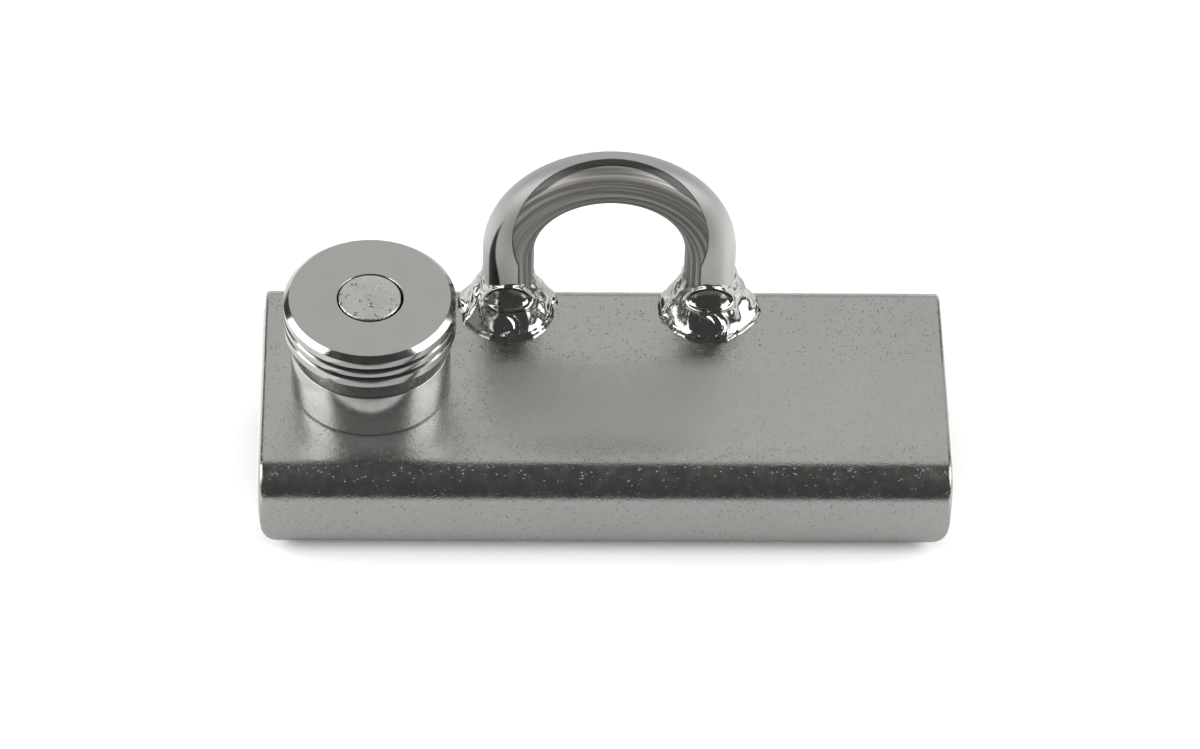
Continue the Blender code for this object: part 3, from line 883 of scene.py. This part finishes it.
def weld_reach(angle, seed):
    """How far the foot stands out from the bar; angle 0 is the front and 90 degrees is +X."""
    broad = WELD_UNEVEN * waves(angle, seed, (2, 3, 5))
    uneven = broad + WELD_FINE_UNEVEN * waves(angle, seed + 3, (7, 12, 17))
    forward = np.clip(np.cos(angle), 0, 1)
    reach = WELD_REACH * (1 + WELD_FRONT_EXTRA * forward**2) + uneven * MM
    rearward = np.clip(-np.cos(angle), 1e-3, 1)
    return np.minimum(reach, WELD_REAR_LIMIT / rearward - BAR_RADIUS)


def lumps(around, up, seed):
    """Smooth uneven swellings over the bead, between about -1 and 1."""
    total = 0.0
    for k in range(7):
        turn = seed + GOLDEN_ANGLE * k
        pitch = 1.3 + 0.42 * k
        total = total + np.sin(pitch * (around * math.cos(turn) + up * math.sin(turn)) + 1.9 * turn)
    return total / 3.2


def bowl_distance(around, up):
    """Distance from the middle of the bowl in the weld's front; 1 is its edge."""
    drooped = up + BOWL_DROOP * around**2 - BOWL_HEIGHT
    return np.hypot(around / BOWL_HALF_WIDTH, drooped / BOWL_HALF_HEIGHT)


def bowl_relief(bowl):
    rim = BOWL_RIM * np.exp(-(((bowl - BOWL_RIM_AT) / BOWL_RIM_WIDTH) ** 2))
    return rim - BOWL_DEPTH * np.clip(1 - bowl**2, 0, 1)


def ripple_relief(around, up, arcs):
    """Curved ripples below the bowl, that many of them."""
    swirl = np.hypot(around - RIPPLE_CENTRE[0], 1.25 * (up - RIPPLE_CENTRE[1]))
    open_side = 1 / (1 + np.exp(-(around + 0.6) / 0.18))
    below_bowl = 1 / (1 + np.exp((up - 3.0) / 0.2))
    ring = np.exp(-(((swirl - RIPPLE_START) % RIPPLE_STEP - RIPPLE_STEP / 2) / RIPPLE_WIDTH) ** 2)
    outer_fade = np.clip((RIPPLE_START + RIPPLE_STEP * arcs - swirl) / 0.3, 0, 1)
    fade = outer_fade * np.clip((swirl - 0.6) / 0.3, 0, 1)
    return RIPPLE_HEIGHT * ring * fade * open_side * below_bowl


def fold_relief(angle, share, up, seed):
    """Fine folds down the flanks."""
    flank = np.clip((np.abs(angle) - FLANK_ANGLE) / 0.4, 0, 1)
    folds = np.sin(15 * angle + 1.4 * np.sin(share * 5 + seed)) + 0.5 * np.sin(26 * angle + 3 * up + seed)
    return FOLD_HEIGHT * folds * flank * np.sin(math.pi * share) ** 0.7


def weld_relief(angle, share, height, seed, arcs):
    """Height of the bead's detail over its smooth fillet, in metres."""
    around = angle * (BAR_RADIUS + WELD_MEAN_OFF) / MM
    up = height / MM
    bowl = bowl_distance(around, up)
    relief = bowl_relief(bowl) + ripple_relief(around, up, arcs)
    relief = relief + fold_relief(angle, share, up, seed)
    outside_bowl = np.clip((bowl - 0.95) / 0.3, 0, 1)
    swollen = WELD_LUMPS * lumps(around, up, seed) * outside_bowl
    relief = relief + swollen * np.sin(math.pi * share) ** 0.8
    toe = np.exp(-(((share - WELD_TOE_SHARE) / WELD_TOE_WIDTH) ** 2))
    toe = toe * (0.7 + 0.5 * waves(angle, seed + 6, (13, 19, 24)))
    return (relief + WELD_TOE * toe) * MM


def weld_skin(centre_x, angle, share, seed, arcs):
    """The bead's concave outer side, from its crest on the bar to its toe on the plate."""
    sag = np.exp(-(((np.abs(angle) - CREST_SAG_ANGLE) / CREST_SAG_WIDTH) ** 2))
    uneven = CREST_UNEVEN * waves(angle, seed + 5, (1, 2, 3))
    rear_drop = CREST_REAR_DROP * np.clip(-np.cos(angle), 0, 1)
    top = WELD_HEIGHT * (1 + uneven - rear_drop - CREST_SAG * sag)
    height = top * (1 - share)
    reach = weld_reach(angle, seed)
    off = reach * share**WELD_HOLLOW
    relief = weld_relief(angle, share, height, seed, arcs) * np.clip(share / 0.08, 0, 1)
    relief = relief * np.clip((1 - share) / 0.1, 0.25, 1)
    slope = np.arctan2(WELD_HOLLOW * reach * np.maximum(share, 0.02) ** (WELD_HOLLOW - 1), top)
    out = BAR_RADIUS - WELD_BAR_OVERLAP + off + relief * np.cos(slope)
    x = centre_x + out * np.sin(angle)
    y = EYE_Y - out * np.cos(angle)
    z = plate_z(y) - WELD_SINK * share + height + relief * np.sin(slope)
    return np.stack((x, y, z), axis=2)


def weld_mesh(name, centre_x, seed, arcs, around=320, rows=84):
    """A fillet weld round a leg, closed inside the bar and just under the plate's top."""
    angle = np.linspace(-math.pi, math.pi, around, endpoint=False)[:, None]
    share = np.linspace(0, 1, rows)[None, :]
    outer = weld_skin(centre_x, angle, share, seed, arcs)
    inside = BAR_RADIUS - WELD_INSIDE_OVERLAP + np.zeros_like(angle)
    under_x = centre_x + inside * np.sin(angle)
    under_y = EYE_Y - inside * np.cos(angle)
    under = np.stack((under_x, under_y, plate_z(under_y) - WELD_SINK), axis=2)
    crest = under.copy()
    crest[:, :, 2] = outer[:, :1, 2]
    sheet = np.concatenate((crest, outer, under), axis=1)
    faces = grid_faces(around, sheet.shape[1], True, True)
    return solid(name, sheet.reshape(-1, 3), faces, WELD_SHARP_DEG)


def make_welds(steel):
    sides = (
        ("weld_bead_left", -1, 2.0, 1.6, "eye_weld_left"),
        ("weld_bead_right", 1, 4.4, 3.0, "eye_weld_right"),
    )
    for name, side, seed, arcs, node in sides:
        mesh = weld_mesh(name, EYE_X + side * EYE_BEND_RADIUS, seed, arcs)
        add_piece(name, mesh, steel, "slider", "weld_steel", node)


# --- plunger


def groove(top, bottom):
    """A grip groove between two lands, from its top to its bottom."""
    depth = KNOB_RADIUS - GROOVE_DEPTH
    slant = (top - bottom) * GROOVE_SLANT
    return [
        (KNOB_RADIUS, top, GROOVE_EDGE),
        (depth, top - slant, GROOVE_EDGE),
        (depth, bottom + slant, GROOVE_EDGE),
        (KNOB_RADIUS, bottom, GROOVE_EDGE),
    ]


def worn_bore(radius, z, angle):
    """The knob's bore, a little wider on one side."""
    near = radius < PIN_RADIUS + 0.3 * MM
    wider = near * KNOB_WEAR * (1 + math.cos(angle - math.radians(KNOB_WEAR_DEG)))
    return radius + wider, z


def make_knob(steel):
    """A cap with a chamfered rim, three lands with two grooves, and a tapered skirt."""
    bore = PIN_RADIUS + KNOB_BORE_GAP
    top, base = KNOB_HIGH.z, KNOB_LOW.z
    corners = [
        (bore, top - 0.08 * MM, 0.02 * MM),
        (bore + 0.06 * MM, top, 0.03 * MM),
        (KNOB_RADIUS - KNOB_CHAMFER_IN, top, 0.07 * MM),
        (KNOB_RADIUS, top - KNOB_CHAMFER_DOWN, 0.07 * MM),
    ]
    for start, end in GROOVES:
        corners += groove(top - start, top - end)
    corners += [
        (KNOB_RADIUS, top - LAST_LAND_END, 0.08 * MM),
        (KNOB_RADIUS - SKIRT_IN, base + SKIRT_UP, 0.08 * MM),
        (KNOB_RADIUS - KNOB_FOOT_IN, base, 0.05 * MM),
        (bore, base, 0.05 * MM),
    ]
    mesh = ring_mesh("grip_knob", corners, shape=worn_bore)
    add_piece("grip_knob", mesh, steel, "plunger", "turned_steel", "plunger_knob")


def make_pin(steel):
    """The pin, with a shallow dimple in its head and a groove for the snap ring."""
    top, tip = PIN_HIGH.z, PIN_LOW.z
    seat_low, seat_high = RING_LOW.z - PIN_GROOVE_GAP, RING_HIGH.z + PIN_GROOVE_GAP
    corners = [(radius, top - depth, rounding) for radius, depth, rounding in PIN_HEAD]
    corners += [
        (PIN_RADIUS, seat_high, 0.03 * MM),
        (RING_SEAT_RADIUS, seat_high, 0.05 * MM),
        (RING_SEAT_RADIUS, seat_low, 0.05 * MM),
        (PIN_RADIUS, seat_low, 0.03 * MM),
        (PIN_RADIUS, tip + PIN_TIP_CHAMFER, 0.2 * MM),
        (PIN_RADIUS - PIN_TIP_CHAMFER, tip, 0.2 * MM),
        (AXIS_GAP, tip, 0.0),
    ]
    mesh = ring_mesh("stop_pin", corners)
    add_piece("stop_pin", mesh, steel, "plunger", "turned_steel", "plunger_pin")


def make_housing(steel):
    """The collar on the plate, its spigot through it, and the bore that holds the spring."""
    bore = PIN_RADIUS + RUNNING_GAP
    top, low = HOUSING_HIGH.z, HOUSING_LOW.z
    corners = [
        (bore, top, 0.1 * MM),
        (COLLAR_RADIUS, top, 0.09 * MM),
        (COLLAR_RADIUS, PLATE_TOP + COLLAR_CHAMFER_UP, 0.05 * MM),
        (COLLAR_RADIUS - COLLAR_CHAMFER_IN, PLATE_TOP + COLLAR_BASE_GAP, 0.03 * MM),
        (SPIGOT_RADIUS, PLATE_TOP + COLLAR_BASE_GAP, 0.03 * MM),
        (SPIGOT_RADIUS, low, 0.15 * MM),
        (SPRING_BORE_RADIUS, low, 0.15 * MM),
        (SPRING_BORE_RADIUS, CEILING_Z, 0.1 * MM),
        (bore, CEILING_Z, 0.05 * MM),
    ]
    mesh = ring_mesh("collar_housing", corners)
    add_piece("collar_housing", mesh, steel, "slider", "turned_steel", "plunger_housing")


def bead_shape(radius, z, angle):
    """Stacked ripples round the bead that holds the housing under the plate."""
    share = (radius - SPIGOT_RADIUS) / MM
    ripple = abs(math.sin(16 * angle + 2.2 * share)) - 0.5
    wander = 0.5 + 0.5 * math.sin(3 * angle + 1.0) * math.sin(7 * angle)
    free = (BEAD_HIGH.z - z) / (BEAD_HIGH.z - BEAD_LOW.z)
    return radius - 0.1 * MM * free * wander, z - free * (0.05 * ripple - 0.04) * MM


def make_housing_bead(steel):
    inner = SPIGOT_RADIUS + 0.02 * MM
    outer = (BEAD_HIGH.x - BEAD_LOW.x) / 2
    top, low = BEAD_HIGH.z, BEAD_LOW.z
    corners = [
        (inner, top, 0.0),
        (outer, top, 0.05 * MM),
        (outer - 0.35 * MM, top - 0.3 * MM, 0.5 * MM),
        (inner + 0.35 * MM, low + 0.06 * MM, 0.2 * MM),
        (inner, low + 0.02 * MM, 0.0),
    ]
    mesh = ring_mesh("housing_bead", corners, 320, bead_shape)
    add_piece("housing_bead", mesh, steel, "slider", "weld_steel", "housing_weld")


def make_washer(steel):
    inner = PIN_RADIUS + RUNNING_GAP
    outer = (WASHER_HIGH.x - WASHER_LOW.x) / 2
    edge = 0.08 * MM
    low, high = WASHER_LOW.z, WASHER_HIGH.z
    corners = [(inner, high, edge), (outer, high, edge), (outer, low, edge), (inner, low, edge)]
    mesh = ring_mesh("seat_washer", corners, 128)
    add_piece("seat_washer", mesh, steel, "spring_seat", "turned_steel", "spring_washer")


def swept(name, centres, normals, section):
    """A closed section of (out, up) swept along points; out follows the normals and up is +Z."""
    points = []
    for centre, normal in zip(centres, normals):
        for out, up in section:
            points.append(tuple(centre + normal * out + np.array((0.0, 0.0, up))))
    count = len(section)
    faces = grid_faces(len(centres), count, wrap_columns=True)
    last = len(points) - count
    faces.append(tuple(range(count)))
    faces.append(tuple(range(last, last + count)))
    return solid(name, points, faces)


def turning(first, last, steps):
    """Outward directions about the plunger's axis, from one angle to another."""
    angles = np.linspace(first, last, steps + 1)
    return np.column_stack((np.cos(angles), np.sin(angles), np.zeros(steps + 1)))


def make_snap_ring(steel):
    outer = RING_HIGH.y
    inner = RING_SEAT_RADIUS + 0.05 * MM
    middle = (outer + inner) / 2
    half_width, half_height = (outer - inner) / 2, (RING_HIGH.z - RING_LOW.z) / 2
    edge = 0.12 * MM
    section = filleted([
        (half_width, half_height, edge),
        (-half_width, half_height, edge),
        (-half_width, -half_height, edge),
        (half_width, -half_height, edge),
    ])
    gap = math.asin(RING_MOUTH / 2 / middle)
    normals = turning(gap, 2 * math.pi - gap, 96)
    centre = np.array((AXIS_X, 0.0, (RING_LOW.z + RING_HIGH.z) / 2))
    mesh = swept("snap_ring", centre + normals * middle, normals, section)
    add_piece("snap_ring", mesh, steel, "plunger", "spring_steel", "pin_snap_ring")


def make_spring(steel):
    """A round-wire coil with its end turns laid flat; it shortens towards its upper end."""
    coil = (SPRING_HIGH.x - SPRING_LOW.x) / 2 - SPRING_WIRE_RADIUS
    steps = int(72 * SPRING_TURNS)
    normals = turning(0.0, 2 * math.pi * SPRING_TURNS, steps)
    low, high = SPRING_LOW.z + SPRING_WIRE_RADIUS, SPRING_HIGH.z - SPRING_WIRE_RADIUS
    share = np.linspace(0, 1, steps + 1)
    flat = SPRING_FLAT_TURNS / SPRING_TURNS
    rise = np.clip((share - flat) / (1 - 2 * flat), 0, 1)
    rise = rise + SPRING_EASE * (np.sin(2 * math.pi * share) * 0.5)
    near_end = np.abs(share - 0.5) > 0.5 - flat
    rise = np.clip(rise + SPRING_END_RISE * (share * 2 - 1) * near_end, 0, 1)
    centres = np.array((AXIS_X, 0.0, 0.0)) + normals * coil
    centres[:, 2] = low + (high - low) * rise
    angles = np.linspace(0, 2 * math.pi, 24, endpoint=False)
    section = SPRING_WIRE_RADIUS * np.column_stack((np.cos(angles), np.sin(angles)))
    mesh = swept("return_spring", centres, normals, section)
    piece = add_piece("return_spring", mesh, steel, "slider", "spring_steel", "plunger_spring")
    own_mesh(piece)


# --- studio


def make_camera():
    """The photo's camera, fitted to the track's holes and the slider's outline."""
    azimuth = math.radians(CAMERA_AZIMUTH)
    elevation = math.radians(CAMERA_ELEVATION)
    roll = math.radians(CAMERA_ROLL)
    ahead = Vector((
        math.sin(azimuth) * math.cos(elevation),
        math.cos(azimuth) * math.cos(elevation),
        -math.sin(elevation),
    ))
    level = Vector((math.cos(azimuth), -math.sin(azimuth), 0.0))
    upright = level.cross(ahead)
    right = level * math.cos(roll) + upright * math.sin(roll)
    up = upright * math.cos(roll) - level * math.sin(roll)
    data = bpy.data.cameras.new("camera")
    data.lens = CAMERA_LENS_MM
    data.sensor_width = 36.0
    data.clip_start = 0.01
    data.clip_end = 20.0
    camera = new_object("camera", data)
    turn = Matrix((right, up, -ahead)).transposed().to_4x4()
    camera.matrix_world = Matrix.Translation(CAMERA_TARGET - ahead * CAMERA_DISTANCE) @ turn
    bpy.context.scene.camera = camera


def make_sheet(name, low, high, z, material):
    corners = [(low[0], low[1], z), (high[0], low[1], z), (high[0], high[1], z), (low[0], high[1], z)]
    mesh = bpy.data.meshes.new(name)
    mesh.from_pydata(corners, [], [(0, 1, 2, 3)])
    mesh.materials.append(material)
    sheet = new_object(name, mesh)
    return sheet


def make_floor():
    """A pale floor. Reflections see a greyer card on it near the object, and a black one in front."""
    reach = FLOOR_REACH
    floor_z = BODY_LOW.z - 3 * CARD_STEP
    make_sheet("floor", (-reach, -reach), (reach, reach), floor_z, paper("floor_paper", *FLOOR_GREYS))
    side = GREY_CARD_HALF_WIDTH
    grey = paper("grey_card", *GREY_CARD_GREYS)
    black = paper("black_card", *BLACK_CARD_GREYS)
    cards = (
        ("grey_card", side, reach, floor_z + CARD_STEP, grey),
        ("black_card", reach, BLACK_CARD_EDGE, floor_z + 2 * CARD_STEP, black),
    )
    for name, half_width, back, z, material in cards:
        card = make_sheet(name, (-half_width, -reach), (half_width, back), z, material)
        card.visible_camera = False
        card.visible_diffuse = False
        card.visible_shadow = False


def make_softbox(name, azimuth):
    """A tall upright panel of light beside the object."""
    azimuth = math.radians(azimuth)
    way = Vector((math.sin(azimuth), -math.cos(azimuth), 0.0))
    low, high = (SOFTBOX_DISTANCE * math.tan(math.radians(a)) for a in SOFTBOX_ELEVATIONS)
    light = bpy.data.lights.new(name, "AREA")
    light.shape = "RECTANGLE"
    light.size = 2 * SOFTBOX_DISTANCE * math.tan(math.radians(SOFTBOX_WIDTH_DEG / 2))
    light.size_y = high - low
    light.energy = SOFTBOX_RADIANCE * math.pi * light.size * light.size_y
    box = new_object(name, light)
    box.location = way * SOFTBOX_DISTANCE + Vector((0.0, 0.0, (low + high) / 2))
    box.rotation_euler = way.to_track_quat("Z", "Y").to_euler()
    box.visible_camera = False


def make_world():
    """Even pale light for the room, and a studio of light and dark walls for polished steel."""
    world = bpy.data.worlds.new("studio")
    bpy.context.scene.world = world
    world.use_nodes = True
    tree = world.node_tree
    tree.nodes.clear()

    def add(kind, *values, **settings):
        node = tree.nodes.new(kind)
        for key, value in settings.items():
            setattr(node, key, value)
        for socket, value in zip(node.inputs, values):
            if isinstance(value, bpy.types.NodeSocket):
                tree.links.new(value, socket)
            elif value is not None:
                socket.default_value = value
        return node

    way = add("ShaderNodeSeparateXYZ", add("ShaderNodeTexCoord").outputs["Generated"])
    x, y, z = way.outputs
    elevation = add("ShaderNodeMath", z, operation="ARCSINE").outputs[0]
    sideways = add("ShaderNodeMath", x, operation="ABSOLUTE").outputs[0]
    frontward = add("ShaderNodeMath", y, -1.0, operation="MULTIPLY").outputs[0]
    azimuth = add("ShaderNodeMath", sideways, frontward, operation="ARCTAN2").outputs[0]
    blur = math.radians(EDGE_BLUR)
    top = math.radians(BACK_TOP_ELEVATION)
    base = math.radians(BACK_BASE_ELEVATION)
    edge = math.radians(BACK_SIDE_AZIMUTH)
    below = add("ShaderNodeMapRange", elevation, top - blur, top + blur, 1.0, 0.0).outputs[0]
    behind = add("ShaderNodeMapRange", azimuth, edge - blur, edge + blur, 0.0, 1.0).outputs[0]
    above = add("ShaderNodeMapRange", elevation, base - blur, base + blur, 0.0, 1.0).outputs[0]
    between = add("ShaderNodeMath", below, above, operation="MULTIPLY").outputs[0]
    share = add("ShaderNodeMath", between, behind, operation="MULTIPLY").outputs[0]
    level = add("ShaderNodeMapRange", share, 0.0, 1.0, DARK_LIGHT, BACK_LIGHT).outputs[0]
    room = add("ShaderNodeBackground", ROOM_COLOR, ROOM_LIGHT)
    walls = add("ShaderNodeBackground", BACK_COLOR, level)
    shiny = add("ShaderNodeLightPath").outputs["Is Glossy Ray"]
    mixed = add("ShaderNodeMixShader", shiny, room.outputs[0], walls.outputs[0])
    add("ShaderNodeOutputWorld", mixed.outputs[0])


def main():
    make_camera()
    make_world()
    make_floor()
    make_softbox("softbox_left", -SOFTBOX_AZIMUTH)
    make_softbox("softbox_right", SOFTBOX_AZIMUTH)
    turned = turned_steel(
        "turned_steel", 0.13, *KNOB_COLORS, pit_size=0.07, grain=3.0e-6, pit_depth=2.0e-5
    )
    collar = turned_steel(
        "collar_steel", 0.15, *COLLAR_COLORS, pit_size=0.09, grain=5.0e-6, pit_depth=2.0e-5, metallic=0.9
    )
    pin = turned_steel(
        "pin_steel", 0.3, *PIN_COLORS, pit_size=0.34, grain=7.0e-5, pit_depth=9.0e-5
    )
    weld = weld_steel()
    wire = spring_steel()
    make_body(plate_steel())
    make_liner(liner_plastic())
    make_bow(bar_steel())
    make_welds(weld)
    make_housing(collar)
    make_housing_bead(weld)
    make_knob(turned)
    make_pin(pin)
    make_washer(turned)
    make_snap_ring(wire)
    make_spring(wire)
    bpy.context.scene.view_settings.view_transform = "Standard"


main()
